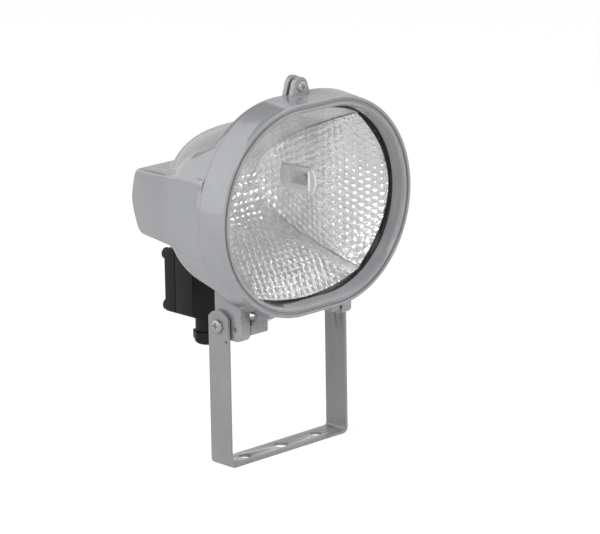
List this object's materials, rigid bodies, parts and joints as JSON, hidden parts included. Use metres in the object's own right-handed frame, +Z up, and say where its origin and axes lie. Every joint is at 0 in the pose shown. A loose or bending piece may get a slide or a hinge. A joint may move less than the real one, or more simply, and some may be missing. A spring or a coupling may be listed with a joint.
{
  "type": "floodlight",
  "caption": "Oval cast-aluminium floodlight with a dimpled reflector for a double-ended lamp, a hinged glazed front, a rear junction box and a tilting cradle bracket.",
  "frame": {"origin": "centre of the bracket's middle hole, in the mounting face under the bracket", "axes": "+Z up from the mounting face, the glass faces -Y, +X is to the right of someone facing the glass"},
  "size_m": [0.2346, 0.142, 0.343],
  "materials": {
    "cast_paint": "silver-grey gloss enamel on die-cast aluminium",
    "cradle_paint": "silver-grey enamel on steel strap",
    "front_glass": "clear toughened flat glass",
    "black_rubber": "matte",
    "grey_rubber": "matte",
    "bright_steel": "zinc plated",
    "bright_aluminium": "bright anodised, dimpled",
    "white_ceramic": "unglazed steatite",
    "contact_brass": "nickel-bright brass",
    "lead_sleeve": "heatproof woven sleeve",
    "black_plastic": "satin glass-filled plastic"
  },
  "bodies": {
    "cradle": {"bracket": "cradle_paint"},
    "head": {"housing": "cast_paint", "frame_gasket": "grey_rubber", "hinge_pins": "bright_steel", "closure_nut": "bright_steel", "pivot_screws": "bright_steel", "pivot_washers": "grey_rubber", "pivot_nuts": "bright_steel", "reflector_trough": "bright_aluminium", "reflector_end_left": "bright_aluminium", "reflector_end_right": "bright_aluminium", "lampholder_left": "white_ceramic", "lampholder_right": "white_ceramic", "holder_bracket_left": "bright_steel", "holder_bracket_right": "bright_steel", "bracket_screws": "bright_steel", "contact_spring_left": "bright_steel", "contact_spring_right": "bright_steel", "lead_left": "lead_sleeve", "lead_right": "lead_sleeve", "box_gasket": "grey_rubber", "junction_box": "black_plastic", "box_cover": "black_plastic", "cover_gasket": "black_rubber", "cover_screws": "bright_steel", "terminal_block": "white_ceramic", "terminal_screws": "contact_brass", "conduit_nipple": "contact_brass", "lock_nuts": "contact_brass", "gland_body": "black_plastic", "gland_seal": "black_rubber", "gland_nut": "black_plastic"},
    "front": {"front_frame": "cast_paint", "front_glass": "front_glass", "glass_seal": "black_rubber", "glass_clips": "bright_steel", "clip_screws": "bright_steel", "closure_screw": "bright_steel"},
    "contact_pin_left": {"contact_left": "contact_brass"},
    "contact_pin_right": {"contact_right": "contact_brass"}
  },
  "joints": [
    {"name": "tilt", "type": "hinge", "parent": "cradle", "child": "head", "pos_m": [0, 0, 0.1285], "axis": [-1, 0, 0], "range_deg": [-90, 90]},
    {"name": "front_hinge", "type": "hinge", "parent": "head", "child": "front", "pos_m": [0, -0.017, 0.127], "axis": [1, 0, 0], "range_deg": [0, 100]},
    {"name": "contact_left_travel", "type": "slide", "parent": "head", "child": "contact_pin_left", "axis": [-1, 0, 0], "range_m": [0, 0.0025], "stiffness_N_per_m": 800, "springref_m": -0.002, "deforming": ["contact_spring_left"]},
    {"name": "contact_right_travel", "type": "slide", "parent": "head", "child": "contact_pin_right", "axis": [1, 0, 0], "range_m": [0, 0.0025], "stiffness_N_per_m": 800, "springref_m": -0.002, "deforming": ["contact_spring_right"]}
  ]
}
